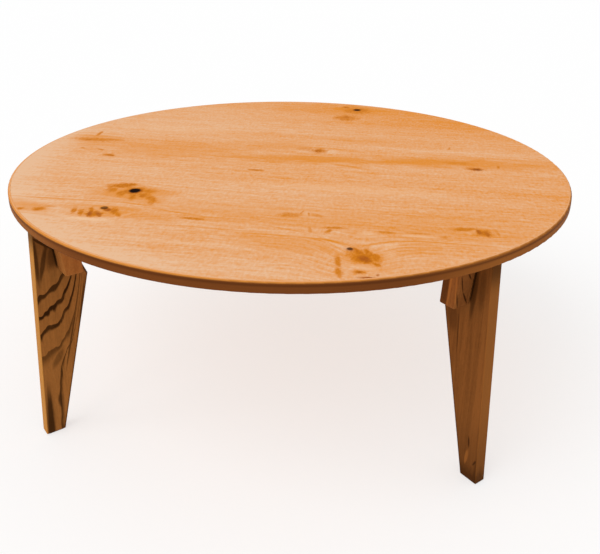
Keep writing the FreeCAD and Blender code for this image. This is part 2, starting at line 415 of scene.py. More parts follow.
red_marks = table(
    Mark,
    (-0.458, -0.424, 0.014, 0.013, 0.3, 0.9),
    (-0.478, -0.602, 0.009, 0.006, -0.8, 0.8),
    (-0.518, -0.642, 0.012, 0.0045, -4.0, 0.85),
    (-0.491, -0.64, 0.012, 0.0045, -1.5, 0.85),
    (0.331, -0.816, 0.013, 0.008, -1.4, 0.9),
    (0.289, -0.762, 0.0075, 0.0075, 0.0, 0.75),
    (0.322, -0.898, 0.005, 0.004, 0.0, 0.55),
    (0.347, -0.927, 0.013, 0.004, 0.1, 1.0),
    (0.371, -0.907, 0.0026, 0.004, 0.0, 0.7),
    (0.649, -0.576, 0.012, 0.004, -5.0, 0.7),
    (0.671, -0.582, 0.012, 0.004, -8.0, 0.7),
    (0.684, 0.027, 0.014, 0.008, 0.0, 0.8),
    (0.084, 0.151, 0.008, 0.01, 0.0, 0.55),
    (-0.867, 0.129, 0.008, 0.005, 0.0, 0.35),
    (-0.7, -0.06, 0.009, 0.005, -0.1, 0.35),
    (-0.111, -0.131, 0.009, 0.003, 0.0, 0.4),
    (0.18, 0.871, 0.012, 0.013, 0.0, 0.8),
    (0.142, 0.716, 0.007, 0.009, 0.0, 0.5),
)
black_marks = table(
    Mark,
    (-0.458, -0.422, 0.009, 0.01, 0.3, 1.0),
    (-0.493, -0.589, 0.0056, 0.006, 0.2, 0.74),
    (0.287, -0.758, 0.0042, 0.0042, 0.0, 0.8),
    (0.18, 0.871, 0.008, 0.0085, 0.0, 1.0),
    (0.689, 0.027, 0.008, 0.0034, -0.2, 0.3),
)

# How far the marks' borders are shifted along the grain where they are ragged, and between which shares of
# their size the marks fade
mark_shift = 0.001
zone_fade_shares = (1.3, 0.2)
soft_fade_shares = (1.3, 0.3)
heart_fade_shares = (1.2, 0.7)
crisp_fade_shares = (1.15, 0.5)

# How much of the raggedness lines, red rims and hearts have, how mottled the marks are all over and the
# faint ones still, and how far the golden halo of the brown marks spreads
line_ragged_share = 0.4
red_ragged_share = 0.7
heart_ragged_share = 0.2
mottle_middle = 0.95
faint_mottle_share = 0.5
brown_halo = 1.2

# Figure of each leg's plank. Its dark bands rise from the outer edge towards the knee, first slowly and then
# steeply, by an exponential whose decay is a share of the knee's width, and they ripple by its wiggle. Bands
# that start below straight_below run straight down. Streak is how streaked the plank is. The two shares of
# painted shade darken the plank upwards and under the table top; the foot share darkens its foot.
leg_figures = {
    "front_left": {
        "rise": 0.210, "decay_share": 0.250, "straight_below": 0.127, "wiggle": 0.014, "seed": 11,
        "bands": table(
            Band,
            (0.372, 0.001, 0.004, 0.9),
            (0.432, 0.0035, 0.0115, 0.65),
            (0.523, 0.006, 0.012, 0.95),
            (0.606, 0.006, 0.011, 1.0),
            (0.695, 0.0075, 0.0135, 0.9),
        ),
        "streak": 0.6,
        "light": colour(166, 107, 52), "dark": colour(52, 28, 8), "edge": colour(198, 135, 64),
        "painted_shade_above_share": 0.20, "painted_shade_top_share": 0.35, "darker_foot_share": 0.0,
    },
    "front_right": {
        "rise": 0.300, "decay_share": 1.5, "straight_below": 0.400, "wiggle": 0.004, "seed": 12,
        "bands": table(
            Band,
            (0.9, 0.004, 0.02, 0.25),
            (1.0, 0.002, 0.03, 0.2),
        ),
        "streak": 1.5,
        "light": colour(138, 84, 39), "dark": colour(66, 36, 12), "edge": colour(148, 90, 40),
        "painted_shade_above_share": 0.0, "painted_shade_top_share": 0.25, "darker_foot_share": 0.90,
    },
    "rear_left": {
        "rise": 0.250, "decay_share": 0.9, "straight_below": 0.200, "wiggle": 0.007, "seed": 13,
        "bands": table(
            Band,
            (0.2, 0.004, 0.016, 0.6),
            (0.33, 0.005, 0.012, 0.7),
            (0.45, 0.003, 0.014, 0.6),
            (0.56, 0.005, 0.018, 0.7),
            (0.7, 0.004, 0.012, 0.6),
            (0.86, 0.003, 0.016, 0.5),
        ),
        "streak": 0.9,
        "light": colour(154, 96, 42), "dark": colour(62, 34, 12), "edge": colour(176, 112, 48),
        "painted_shade_above_share": 0.1, "painted_shade_top_share": 0.2, "darker_foot_share": 0.1,
    },
    "rear_right": {
        "rise": 0.150, "decay_share": 0.45, "straight_below": 0.090, "wiggle": 0.018, "seed": 14,
        "bands": table(
            Band,
            (0.24, 0.002, 0.008, 0.8),
            (0.34, 0.006, 0.016, 0.8),
            (0.47, 0.004, 0.012, 0.9),
            (0.57, 0.007, 0.018, 0.8),
            (0.71, 0.005, 0.012, 0.9),
            (0.82, 0.004, 0.016, 0.7),
        ),
        "streak": 0.7,
        "light": colour(160, 101, 46), "dark": colour(58, 32, 10), "edge": colour(184, 118, 48),
        "painted_shade_above_share": 0.1, "painted_shade_top_share": 0.2, "darker_foot_share": 0.1,
    },
}

# Marks of the two front planks, up the plank in shares of its height and outwards from the knee in shares of
# its width there. The left one's last two are a painted shadow line under the rim and the dark edge at the
# knee;
# the right one's fifth and sixth are painted shade on the plank beside its hinge block.
leg_dark_marks = {
    "front_left": table(
        Mark,
        (0.03, 1.035, 0.08, 0.0066, -0.04, 0.9),
        (0.86, 0.945, 0.048, 0.0042, 0.03, 0.75),
        (0.83, 0.82, 0.034, 0.004, -0.26, 0.75),
        (0.93, 0.73, 0.02, 0.004, 0.0, 0.7),
        (0.865, 0.6, 0.026, 0.011, -0.3, 0.6),
        (0.46, 0.44, 0.056, 0.0018, -0.25, 0.7),
        (0.6, 0.18, 0.045, 0.0016, -0.2, 0.7),
        (0.37, 0.74, 0.018, 0.006, -0.6, 0.45),
        # Painted shadow under the rim.
        (0.924, 0.81, 0.026, 0.0024, 1.15, 0.85),
        (0.765, 0.045, 0.014, 0.003, 0.41, 0.85),
    ),
    "front_right": table(
        Mark,
        (0.18, 0.88, 0.01, 0.0016, -0.1, 0.9),
        (0.1, 1.06, 0.007, 0.0017, 0.5, 0.9),
        (0.64, 0.37, 0.04, 0.0012, -0.05, 0.7),
        (0.7, 0.21, 0.024, 0.011, -0.2, 0.45),
        # The next two are painted shade beside the hinge block.
        (0.85, 0.64, 0.048, 0.005, 0.05, 0.7),
        (0.87, 0.8, 0.034, 0.006, 0.0, 0.35),
        (0.05, 1.13, 0.03, 0.006, -0.05, 0.5),
    ),
}
leg_light_marks = {
    "front_right": table(
        Mark,
        (0.105, 0.86, 0.014, 0.0032, 0.1, 0.8),
        (0.62, 0.41, 0.04, 0.0012, -0.05, 0.4),
    ),
}

# Textures of the planks outwards, sideways and upwards
plank_fibre = Texture((0.0013, 0.0013, 0.04), 3.0)
plank_streak = Texture((0.006, 0.006, 0.20), 4.0, 0.65)
brown_speckle = Texture((0.0025, 0.0025, 0.006), 2.0, 0.65)
plank_tone = 0.30
plank_fibre_tone = 0.40
plank_speckle_tone = 0.35
plank_fibre_relief = 0.00003
band_relief = 0.00002

# How the bands of a plank ripple and where they fade: their ripples and waves, between which shares of the
# knee's width these grow from a small part to the whole, and over what height they grow
band_ripples = Texture((0.013, 0.03, 0.035), 1.0)
band_waves = Texture((0.05, 0.05, 0.09), strength=0.5)
wave_shares = (0.25, 0.65)
wave_growth = 0.025
calm_share = 0.15
band_faintness = Texture((0.03, 0.05, 0.03))
faint_range = (-0.8, -0.1)
faint_share = 0.6

# How softly the bands turn straight down, how they slant across the plank's thickness, how sharp their upper
# borders are and how the fibres feather the lower ones
straightening = 0.024
band_slant = 0.4
band_border = 0.0012
band_feather = 0.003

# How ragged the marks of the planks are along the fibre and the streaks
fibre_ragged = 0.35
streak_ragged = 0.25

# The darker foot of a plank: the heights between which it fades in, above its very end and near it, the part
# that each has, and how ragged its border is
foot_fade = (0.130, 0.010)
foot_end_fade = (0.030, 0.004)
foot_part = 0.5
foot_ragged = 0.008

# The outer narrow edge is lighter, apart from its top and foot: where it starts, how much of the plank's
# tone it keeps, and how deep and dark its shaded top is
wide_face_insets = (0.0006, 0.0016)
edge_insets = (0.0014, 0.0004)
edge_tone_share = 0.4
edge_shade_depths = (0.050, 0.012)
edge_top_shade = 0.7
edge_foot_shade = 0.9

# The inner edge is burnt brown, and a painted shadow line runs down each leg beside its hinge blocks
burnt_edge = colour(66, 32, 10)
burnt_insets = (0.0036, 0.0006)
burnt_strength = 0.8
block_shadow_offset = 0.0014
block_shadow_width = 0.0014
block_shadow_fade = 0.01
block_shadow_strength = 0.85
block_shadow_colour = colour(24, 12, 5)

# Light and dark colours of the hinge blocks beside each leg, and their textures and tone
block_colours = {
    "front_left": (colour(166, 105, 52), colour(144, 86, 40)),
    "front_right": (colour(150, 92, 45), colour(116, 68, 32)),
    "rear_left": (colour(150, 90, 40), colour(100, 56, 24)),
    "rear_right": (colour(150, 90, 40), colour(100, 56, 24)),
}
block_fibre = Texture((0.0012, 0.0012, 0.03), 3.0)
block_streak = Texture((0.006, 0.008, 0.12))
block_tone = 0.45
block_streak_tone = 0.8
block_fibre_tone = 0.3
block_speckle_tone = 0.6

# Marks of the one block whose figure shows in front: up the block in shares of its height, and round its two
# outer faces in shares of their width together
figured_block = "front_right_facing_front"
block_mark_colour = colour(54, 26, 8)
block_streak_colour = colour(170, 104, 48)
block_ragged = 0.25
block_dark_marks = table(
    Mark,
    (0.5, 0.14, 0.05, 0.008, 0.06, 0.55),
    (0.22, 0.485, 0.017, 0.0014, -0.19, 0.8),
    (0.18, 0.731, 0.0135, 0.0016, -0.49, 0.9),
    (0.5, 0.604, 0.015, 0.0015, -0.2, 0.8),
    (0.64, 0.804, 0.009, 0.0015, -0.59, 0.8),
)
block_light_marks = table(
    Mark,
    (0.5, 0.27, 0.05, 0.0022, 0.08, 0.9),
    (0.4, 0.43, 0.028, 0.0018, -0.04, 0.7),
)

# Beech of the dowels: its fibre and dark flecks
beech_pale = colour(226, 190, 146)
beech_brown = colour(204, 160, 112)
beech_fleck = colour(150, 100, 60)
beech_fibre = Texture((0.0008, 0.0008, 0.015), 3.0)
beech_flecks = Texture((0.0004, 0.0004, 0.002))
beech_fibre_tone = 0.6
fleck_range = (0.35, 0.6)
fleck_strength = 0.6
beech_roughness = 0.6

# Steel of the pins and the zinc-plated screws: fine marks and stains
pin_colour = colour(196, 194, 190)
screw_colour = colour(214, 200, 150)
stain_colour = colour(150, 146, 140)
steel_marks = Texture((0.0006, 0.0006, 0.0006), 3.0)
steel_stains = Texture((0.01, 0.01, 0.01))
steel_tone = 0.4
stain_tone = 0.5
steel_roughness = 0.32
mark_roughness = 0.12
smooth_relief = 0.00001

# Nylon of the bushes, faintly cloudy
nylon_pale = colour(232, 228, 216)
nylon_dark = colour(214, 208, 192)
nylon_clouds = Texture((0.004, 0.004, 0.004))
cloud_tone = 0.5
nylon_roughness = 0.45
cloud_roughness = 0.05

# Felt: tangled fibres and darker patches
felt_pale = colour(84, 64, 50)
felt_dark = colour(44, 32, 26)
felt_tangle = Texture((0.0007, 0.0007, 0.0007), 4.0, 0.75)
felt_patches = Texture((0.005, 0.005, 0.005))
tangle_tone = 0.7
patch_tone = 0.3
felt_roughness = 0.95
felt_relief = 0.0002
felt_sheen = 0.1

# The tone halfway between two colours
middle_tone = 0.5


# Node graphs, written as arithmetic


class Field:
    """A value that varies over a surface: one output of a shader node, with arithmetic."""

    def __init__(self, graph, socket):
        self.graph = graph
        self.socket = socket

    def __add__(self, other):
        return self.graph.calculate("ADD", self, other)

    def __radd__(self, other):
        return self.graph.calculate("ADD", other, self)

    def __sub__(self, other):
        return self.graph.calculate("SUBTRACT", self, other)

    def __rsub__(self, other):
        return self.graph.calculate("SUBTRACT", other, self)

    def __mul__(self, other):
        return self.graph.calculate("MULTIPLY", self, other)

    def __rmul__(self, other):
        return self.graph.calculate("MULTIPLY", other, self)

    def __truediv__(self, other):
        return self.graph.calculate("DIVIDE", self, other)

    def __neg__(self):
        return self.graph.calculate("MULTIPLY", self, -1.0)


class Graph:
    """The node tree of one material, ending in its principled shader."""

    def __init__(self, name, seed):
        self.material = bpy.data.materials.new(name)
        self.material.use_nodes = True
        tree = self.material.node_tree
        self.nodes = tree.nodes
        self.links = tree.links
        self.shader = self.nodes["Principled BSDF"]
        self.random = random.Random(seed)

    def feed(self, socket, value):
        """Sets a socket to a number or colour, or links a field to it."""
        if isinstance(value, Field):
            self.links.new(value.socket, socket)
        else:
            socket.default_value = value

    def calculate(self, operation, *values):
        """The field that a sum gives for fields and numbers."""
        node = self.nodes.new("ShaderNodeMath")
        node.operation = operation
        for socket, value in zip(node.inputs, values):
            self.feed(socket, value)
        return Field(self, node.outputs[0])

    def place(self):
        """The three coordinates of a point of the part at rest."""
        source = self.nodes.new("ShaderNodeTexCoord")
        node = self.nodes.new("ShaderNodeSeparateXYZ")
        self.links.new(source.outputs["Object"], node.inputs[0])
        return [Field(self, output) for output in node.outputs]

    def vector(self, x, y, z):
        """Three fields or numbers as one place."""
        node = self.nodes.new("ShaderNodeCombineXYZ")
        for socket, value in zip(node.inputs, (x, y, z)):
            self.feed(socket, value)
        return Field(self, node.outputs[0])

    def noise(self, texture, *coordinates):
        """Smooth noise of about -1 to 1 times the texture's strength, over two or three coordinates. Each
        call draws from a place of its own."""
        places = [coordinate / length for coordinate, length in zip(coordinates, texture.lengths)]
        x, y, z = (places + [0.0])[:3]
        node = self.nodes.new("ShaderNodeTexNoise")
        node.inputs["Scale"].default_value = 1.0
        node.inputs["Detail"].default_value = texture.detail
        node.inputs["Roughness"].default_value = texture.roughness
        shifted = x + self.random.uniform(-noise_shift, noise_shift)
        self.feed(node.inputs["Vector"], self.vector(shifted, y, z))
        field = Field(self, node.outputs["Fac"]) * 2.0 - 1.0
        return field if texture.strength == 1.0 else field * texture.strength

    def vector_math(self, operation, first, second):
        """The number that a vector operation gives for a field and a constant vector."""
        node = self.nodes.new("ShaderNodeVectorMath")
        node.operation = operation
        self.feed(node.inputs[0], first)
        self.feed(node.inputs[1], second)
        return Field(self, node.outputs["Value"])

    def ellipse(self, place, middle, turn, size):
        """The distance of a flat place from an ellipse's middle, as a share of the ellipse's half sizes."""
        along = Vector((math.cos(turn), math.sin(turn), 0)) / size[0]
        across = Vector((-math.sin(turn), math.cos(turn), 0)) / size[1]
        centre = Vector((middle[0], middle[1], 0))
        turned = self.vector(self.vector_math("DOT_PRODUCT", place, along),
                             self.vector_math("DOT_PRODUCT", place, across), 0.0)
        return self.vector_math("DISTANCE", turned, (centre.dot(along), centre.dot(across), 0.0))

    def smooth(self, value, low, high, full=1.0):
        """0 where value is at low, full where it is at high, and an S-curve in between."""
        node = self.nodes.new("ShaderNodeMapRange")
        node.interpolation_type = "SMOOTHSTEP"
        self.feed(node.inputs["Value"], value)
        self.feed(node.inputs["From Min"], low)
        self.feed(node.inputs["From Max"], high)
        node.inputs["To Max"].default_value = full
        return Field(self, node.outputs["Result"])

    def bell(self, value):
        """1 where value is zero, and almost 0 where it is past 2 on either side."""
        return self.calculate("EXPONENT", -(value * value))

    def larger(self, first, second):
        """The larger of two fields or numbers, point by point."""
        return self.calculate("MAXIMUM", first, second)

    def mix(self, factor, first, second):
        """The first colour where factor is 0, and the second where it is 1."""
        node = self.nodes.new("ShaderNodeMix")
        node.data_type = "RGBA"
        node.clamp_factor = True
        sockets = [socket for socket in node.inputs if socket.enabled]
        for socket, value in zip(sockets, (factor, first, second)):
            self.feed(socket, value)
        return Field(self, [socket for socket in node.outputs if socket.enabled][0])

    def mirror(self, gloss):
        """Sets how much the surface mirrors."""
        self.shader.inputs["Specular IOR Level"].default_value = gloss

    def finish(self, base_colour, roughness, height=None):
        """Feeds the shader. Height is the relief of the surface in metres."""
        self.feed(self.shader.inputs["Base Color"], base_colour)
        self.feed(self.shader.inputs["Roughness"], roughness)
        if height is not None:
            bump = self.nodes.new("ShaderNodeBump")
            bump.inputs["Distance"].default_value = 1.0
            self.feed(bump.inputs["Height"], height)
            self.links.new(bump.outputs["Normal"], self.shader.inputs["Normal"])
        return self.material


# Wood


def at_shares(length, shares):
    """Lengths at the given shares of a length."""
    return [length * share for share in shares]


def within(limit, depths):
    """Places at the given depths below or inside a limit."""
    return [limit - depth for depth in depths]


def closeness(graph, x, y, bend, radius):
    """1 at a bend of the grain and 0 far from it, and how far across the grain the point lies from it."""
    along = (x - bend.along_share * radius) / bend.reach
    away = (y - bend.across_share * radius) / bend.spread
    return graph.bell(along) * graph.bell(away), away


def bent_grain(graph, x, y, bends, dips, radius):
    """Where across the grain the line of grain through a point runs, away from any knot, and how near a
    knot the point is."""
    course = y
    near = 0.0
    for bend in bends:
        close, away = closeness(graph, x, y, bend, radius)
        side = graph.calculate("TANH", away * knot_split)
        course = course - side * close * bend.push
        near = graph.larger(close, near)
    for dip in dips:
        close, away = closeness(graph, x, y, dip, radius)
        course = course + close * dip.push
    return course, near


def wandering(graph, x, y):
    """How far the grain wanders off a straight course."""
    return graph.noise(slow_wander, x, y) + graph.noise(quick_wander, x, y)


def marked(graph, along, across, scales, marks, ragged, fade_shares):
    """How strongly a point is covered by the marks, whose borders are ragged by the given noise. The marks'
    places are shares of the two scales, and they fade between two shares of their size."""
    place = graph.vector(along + ragged * mark_shift, across, 0.0)
    shade = 0.0
    for mark in marks:
        middle = (mark.along_share * scales[0], mark.across_share * scales[1])
        size = (mark.half_length, mark.half_width)
        distance = graph.ellipse(place, middle, math.atan(mark.tilt), size) + ragged
        shade = graph.larger(graph.smooth(distance, *fade_shares, mark.strength), shade)
    return shade


def top_veneer(radius):
    """Knotty orange veneer with its grain along X."""
    graph = Graph("knotty_top_veneer", top_veneer_seed)
    x, y = graph.place()[:2]
    course, near = bent_grain(graph, x, y, top_bends, top_dips, radius)
    line = course + wandering(graph, x, y)
    field = graph.noise(veneer_field, x, y)
    bands = graph.noise(veneer_bands, x, line)
    growth = graph.noise(veneer_growth, x, line) * (near * growth_at_knots + growth_anywhere)
    streaks = graph.noise(veneer_streaks, x, line)
    speckle = graph.noise(veneer_speckle, x, y)
    fibre = graph.noise(veneer_fibre, x, line)
    # Painted sheen: the top is made paler along its front-left rim.
    near_rim_sheen = graph.smooth(x * x + y * y, *at_shares(radius * radius, rim_sheen_shares))
    front_left = graph.smooth(y + x * front_left_sheen_lean, *at_shares(radius, front_left_sheen_shares))
    rear = graph.smooth(y + x * rear_zone_lean, *at_shares(radius, rear_zone_shares))
    tone = top_tone + x * top_tone_rise + field + bands + growth + streaks + speckle + fibre * top_fibre_tone
    tone = tone + rear * rear_zone_tone - near_rim_sheen * front_left * front_left_painted_sheen
    wood = graph.mix(tone, veneer_pale, veneer_orange)
    scales = (radius, radius)
    soft = graph.noise(zone_ragged, x, line)
    ragged = graph.noise(mark_ragged, x, y)
    mottle = graph.noise(mark_mottle, x, y) + mottle_middle
    faint = mottle * faint_mottle_share + (1 - faint_mottle_share)
    wobble = course + graph.noise(line_wobble, x, y)
    zones = marked(graph, x, y, scales, golden_zones, soft, zone_fade_shares) * faint
    line_ragged = ragged * line_ragged_share
    lines = marked(graph, x, wobble, scales, golden_lines, line_ragged, soft_fade_shares) * faint
    light = marked(graph, x, y, scales, pale_marks, ragged, soft_fade_shares) * faint
    brown = marked(graph, x, y, scales, brown_marks, ragged, soft_fade_shares) * mottle
    red = marked(graph, x, y, scales, red_marks, ragged * red_ragged_share, soft_fade_shares) * mottle
    black = marked(graph, x, y, scales, black_marks, ragged * heart_ragged_share, heart_fade_shares)
    wood = graph.mix(graph.larger(zones, lines), wood, mark_golden)
    wood = graph.mix(light, wood, mark_pale)
    wood = graph.mix(brown * brown_halo, wood, mark_golden)
    wood = graph.mix(brown * brown, wood, mark_brown)
    wood = graph.mix(red, wood, graph.mix(red, mark_brown, mark_red))
    wood = graph.mix(black, wood, mark_black)
    roughness = wood_roughness + fibre * fibre_roughness + black * heart_roughness
    height = fibre * veneer_fibre_relief + streaks * veneer_streak_relief - black * heart_depth
    graph.mirror(orange_gloss)
    return graph.finish(wood, roughness, height)


def back_veneer():
    """Plainer veneer under the top, without knots, with its grain along X."""
    graph = Graph("plain_back_veneer", back_veneer_seed)
    x, y = graph.place()[:2]
    line = y + wandering(graph, x, y)
    bands = graph.noise(back_bands, x, line)
    growth = graph.noise(back_growth, x, line)
    streaks = graph.noise(back_streaks, x, line)
    speckle = graph.noise(back_speckle, x, y)
    fibre = graph.noise(veneer_fibre, x, line)
    tone = back_tone + bands + growth + streaks + speckle + fibre * back_fibre_tone
    wood = graph.mix(tone, veneer_pale, veneer_orange)
    graph.mirror(orange_gloss)
    roughness = back_roughness + fibre * back_fibre_roughness
    return graph.finish(wood, roughness, fibre * veneer_fibre_relief + streaks * veneer_streak_relief)


def core_board():
    """Chipboard, as pale and brown flakes."""
    graph = Graph("chipboard", core_board_seed)
    flakes = graph.noise(chip_flakes, *graph.place())
    wood = graph.mix(middle_tone + flakes, chip_pale, chip_brown)
    return graph.finish(wood, chip_roughness, flakes * chip_relief)


def lipping_wood(radius, top):
    """Brown wood bent round the edge, almost without figure, painted lighter towards the table's sides as
    painted light, with a painted shadow line under its upper arris, which is rubbed lighter as wear and a
    painted highlight.
    """
    graph = Graph("edge_lipping_wood", lipping_seed)
    x, y, z = graph.place()
    around = graph.calculate("ARCTAN2", y, x) * radius
    out = graph.calculate("SQRT", x * x + y * y)
    streaks = graph.noise(lipping_streaks, around, z, out)
    fibre = graph.noise(lipping_fibre, around, z, out)
    tone = lipping_tone + streaks * lipping_streak_tone + fibre * lipping_fibre_tone
    wood = graph.mix(tone, lipping_brown, lipping_dark)
    # Painted light: the edge is made lighter towards the table's left and right sides.
    from_middle = graph.calculate("ABSOLUTE", x + streaks * lipping_lit_side_stray)
    lit_sides = graph.smooth(from_middle, *at_shares(radius, lipping_lit_side_shares))
    wood = graph.mix(lit_sides * lipping_lit_side_strength, wood, lipping_side_lit_brown)
    shade = graph.bell((z - top + shadow_depth) / shadow_width)
    wood = graph.mix(shade * shadow_strength, wood, lipping_shadow)
    # Painted highlight and wear: the rubbed arris is made lighter, and narrower towards the right.
    worn_highlight_height = z + streaks * wear_highlight_stray - x * lipping_highlight_slope
    worn_highlight = graph.smooth(worn_highlight_height, *within(top, wear_highlight_depths))
    wood = graph.mix(worn_highlight, wood, lipping_worn_highlight)
    inside_arris = graph.smooth(out, *within(radius, face_insets))
    on_face = inside_arris * graph.smooth(z, top - face_depth, top)
    face_tone = middle_tone + streaks * lipping_streak_tone + fibre * lipping_fibre_tone
    wood = graph.mix(on_face, wood, graph.mix(face_tone, veneer_pale, veneer_orange))
    graph.mirror(brown_gloss)
    roughness = lipping_roughness + fibre * fibre_roughness
    return graph.finish(wood, roughness, fibre * veneer_fibre_relief)


class LegFrame:
    """One leg's own directions and the corners of its plank, read from its mesh."""

    def __init__(self, node, block, azimuth):
        angle = math.radians(azimuth)
        self.outward = Vector((math.cos(angle), math.sin(angle), 0))
        self.sideways = Vector((-math.sin(angle), math.cos(angle), 0))
        points = self.outline(node)
        self.bottom = min(height for reach, height in points)
        self.top = max(height for reach, height in points)
        self.knee_reach, self.knee_height = min(points)
        feet = [reach for reach, height in points if height < self.bottom + plank_end_reach]
        self.foot_inner = min(feet)
        self.foot_outer = max(feet)
        self.top_outer = max(reach for reach, height in points if height > self.top - plank_end_reach)
        corners = self.outline(block)
        self.block_bottom = min(height for reach, height in corners)
        block_foot_top = self.block_bottom + block_end_reach
        self.block_foot_outer = max(reach for reach, height in corners if height < block_foot_top)
        self.block_top_outer = max(reach for reach, height in corners)

    def outline(self, node):
        """How far out and how high each point of a node lies."""
        return [(vertex.co.dot(self.outward), vertex.co.z) for vertex in node.data.vertices]

    def extent(self, node):
        """A node's reaches, sideways offsets and heights, each as its lowest and highest."""
        places = [(vertex.co.dot(self.outward), vertex.co.dot(self.sideways), vertex.co.z)
                  for vertex in node.data.vertices]
        return [pick(values) for values in zip(*places) for pick in (min, max)]

    def knee_width(self):
        """The plank's width, level with its knee."""
        share = (self.top - self.knee_height) / (self.top - self.bottom)
        return self.top_outer + (self.foot_outer - self.top_outer) * share - self.knee_reach

    def coordinates(self, graph):
        """How far out, how far sideways and how high a point is."""
        x, y, z = graph.place()
        reach = x * self.outward.x + y * self.outward.y
        side = x * self.sideways.x + y * self.sideways.y
        return reach, side, z

    def block_edge(self, height):
        """The reach of the hinge blocks' outer faces."""
        slope = (self.block_top_outer - self.block_foot_outer) / (self.top - self.block_bottom)
        return (height - self.block_bottom) * slope + self.block_foot_outer

    def from_inner_edge(self, graph, reach, height):
        """How far outwards of the plank's inner edge a point is."""
        slope = (self.foot_inner - self.knee_reach) / (self.knee_height - self.bottom)
        below_knee = graph.larger(self.knee_height - height, 0.0)
        return reach - self.knee_reach - below_knee * slope

    def from_outer_edge(self, reach, height):
        """How far inwards of the plank's outer edge a point is."""
        slope = (self.foot_outer - self.top_outer) / (self.top - self.bottom)
        return self.top_outer + (self.top - height) * slope - reach


def plank_bands(graph, leg, figure, place, fibre):
    """How dark the bands of a plank's figure are at a point. Each has a sharp, wavy upper border, and fades
    downwards along the fibres."""
    reach, side, height = place
    share = (reach - leg.knee_reach) / leg.knee_width()
    climb = graph.calculate("EXPONENT", share / -figure["decay_share"]) * figure["rise"]
    straight_from = figure["straight_below"]
    above = height - straight_from
    eased = (above + graph.calculate("SQRT", above * above + straightening * straightening)) * 0.5
    outwards = graph.smooth(share, *wave_shares)
    wavy = outwards * graph.smooth(height, straight_from, straight_from + wave_growth)
    waves = graph.noise(band_ripples, *place) + graph.noise(band_waves, *place)
    waves = waves * (wavy * (1 - calm_share) + calm_share) * figure["wiggle"]
    line = eased + straight_from - climb + side * band_slant + waves
    shade = 0.0
    for band in figure["bands"]:
        below = band.level_share * leg.top - line
        feathered = below + fibre * band_feather
        dark = graph.smooth(below, 0.0, band_border) * graph.smooth(feathered, band.fade, band.thick)
        shade = graph.larger(dark * band.strength, shade)
    bold = graph.smooth(graph.noise(band_faintness, *place), *faint_range)
    return shade * (bold * (1 - faint_share) + faint_share)


def leg_wood(name, leg, figure):
    """Brown plank with dark bands and marks of its own, painted in shade towards its top under the table,
    and darker towards its foot. Its outer narrow edge is lighter, its inner one burnt, and a painted shadow
    line runs beside the hinge blocks."""
    graph = Graph("leg_wood_" + name, figure["seed"])
    place = leg.coordinates(graph)
    reach, height = place[0], place[2]
    inner = leg.from_inner_edge(graph, reach, height)
    outer = leg.from_outer_edge(reach, height)
    on_wide_face = graph.smooth(outer, *wide_face_insets)
    fibre = graph.noise(plank_fibre, *place)
    streak = graph.noise(plank_streak, *place)
    speckle = graph.noise(brown_speckle, *place)
    bands = plank_bands(graph, leg, figure, place, fibre) * on_wide_face
    scales = (leg.top, leg.knee_width())
    ragged = fibre * fibre_ragged + streak * streak_ragged
    out = reach - leg.knee_reach
    dark = marked(graph, height, out, scales, leg_dark_marks.get(name, []), ragged, crisp_fade_shares)
    light = marked(graph, height, out, scales, leg_light_marks.get(name, []), ragged, crisp_fade_shares)
    # Painted shadow: a dark line on the plank beside the hinge blocks.
    block_shadow_away = (reach - leg.block_edge(height) - block_shadow_offset) / block_shadow_width
    block_shadow = graph.bell(block_shadow_away) * graph.smooth(height, leg.block_bottom, leg.block_bottom + block_shadow_fade)
    tone = plank_tone + streak * figure["streak"] + fibre * plank_fibre_tone + speckle * plank_speckle_tone
    wood = graph.mix(tone, figure["light"], between(figure["light"], figure["dark"]))
    # Painted shade: the plank is made darker upwards and under the table top.
    painted_upper_shade = (graph.smooth(height, leg.bottom, leg.top) * figure["painted_shade_above_share"]
              + graph.smooth(height, leg.knee_height, leg.top) * figure["painted_shade_top_share"])
    ragged_height = height + streak * foot_ragged + speckle * foot_ragged
    lower = (graph.smooth(ragged_height, *foot_fade, foot_part)
             + graph.smooth(ragged_height, *foot_end_fade, foot_part)) * figure["darker_foot_share"]
    wood = graph.mix(painted_upper_shade + lower, wood, figure["dark"])
    wood = graph.mix(graph.larger(bands, dark * on_wide_face), wood, figure["dark"])
    wood = graph.mix(light, wood, figure["edge"])
    edge = graph.mix(tone * edge_tone_share, figure["edge"], figure["light"])
    edge_shade = (graph.smooth(height, *within(leg.top, edge_shade_depths), edge_top_shade)
                  + lower * edge_foot_shade)
    edge = graph.mix(edge_shade, edge, figure["dark"])
    wood = graph.mix(graph.smooth(outer, *edge_insets), wood, edge)
    burnt = graph.smooth(inner, *burnt_insets) * burnt_strength
    wood = graph.mix(burnt, wood, burnt_edge)
    wood = graph.mix(block_shadow * block_shadow_strength, wood, block_shadow_colour)
    graph.mirror(brown_gloss)
    roughness = wood_roughness + fibre * fibre_roughness
    return graph.finish(wood, roughness, fibre * plank_fibre_relief - bands * band_relief)


def between(first, second):
    """The colour halfway between two linear colours."""
    return tuple((a + b) / 2 for a, b in zip(first, second))


